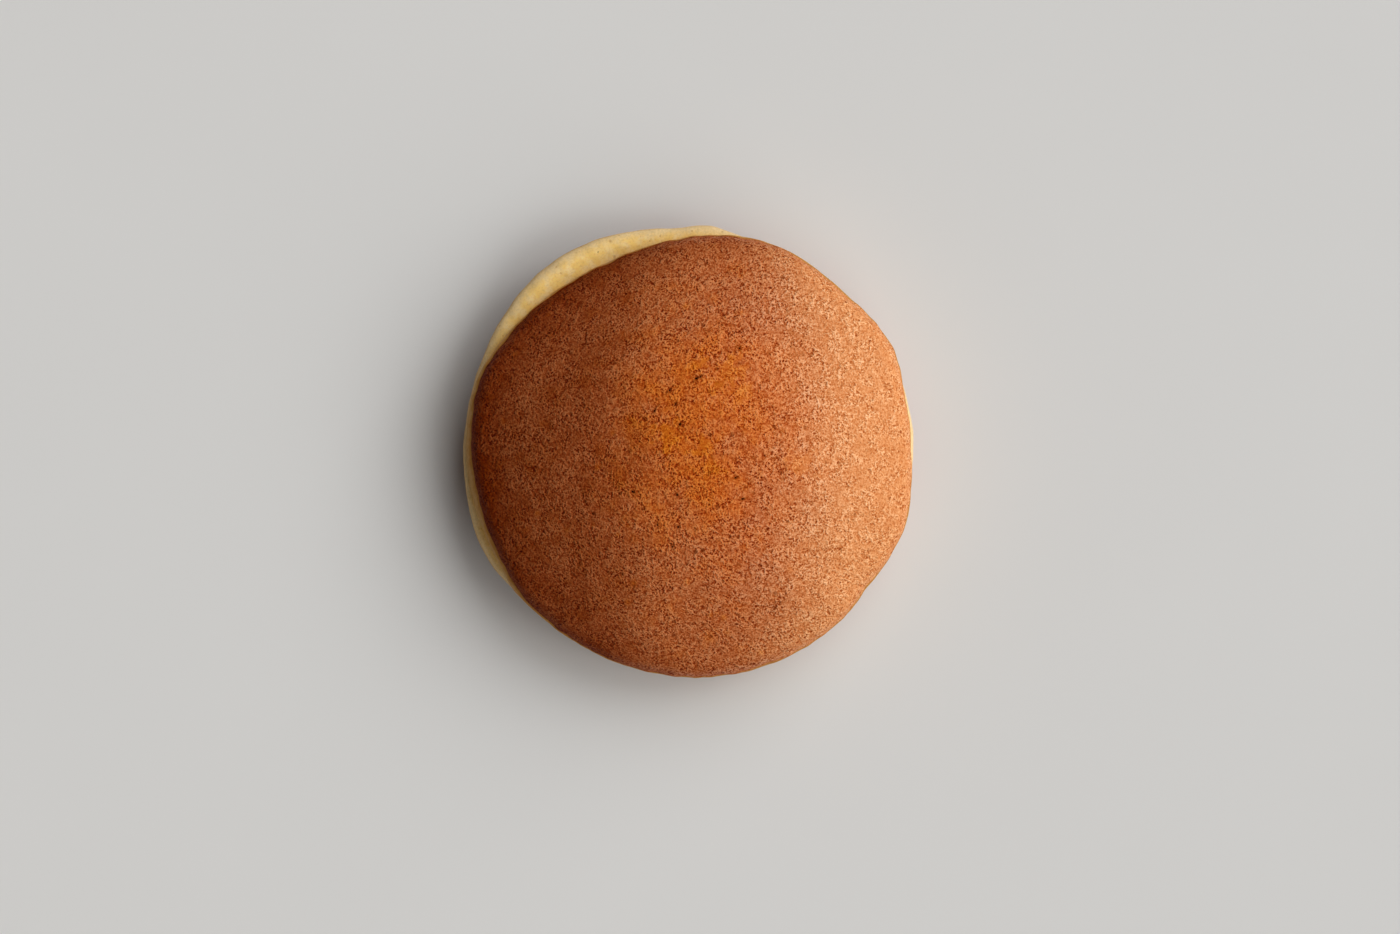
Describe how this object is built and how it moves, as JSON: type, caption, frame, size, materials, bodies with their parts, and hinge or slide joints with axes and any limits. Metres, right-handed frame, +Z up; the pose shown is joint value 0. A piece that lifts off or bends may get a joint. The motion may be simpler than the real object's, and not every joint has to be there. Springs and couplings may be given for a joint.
{
  "type": "dorayaki",
  "caption": "Round dorayaki: a domed, browned griddle cake laid slightly off centre on a second one, whose pale rim shows along one side.",
  "frame": {"origin": "middle of the flat foot, under the centre of the part's box, on the surface it rests on", "axes": "+Z up through both cakes; the lower cake's pale rim shows towards -X and +Y"},
  "size_m": [0.0948, 0.0952, 0.0333],
  "materials": {
    "browned_cake": "soft baked sponge with a caramel-brown, finely pitted griddle crust, satin where it is smooth; pale crumb at the rim",
    "pale_cake": "soft, matt, pale yellow baked crumb with fine pores; browned griddle crust underneath"
  },
  "bodies": {
    "root": {"upper_cake": "browned_cake", "lower_cake": "pale_cake"}
  },
  "joints": []
}
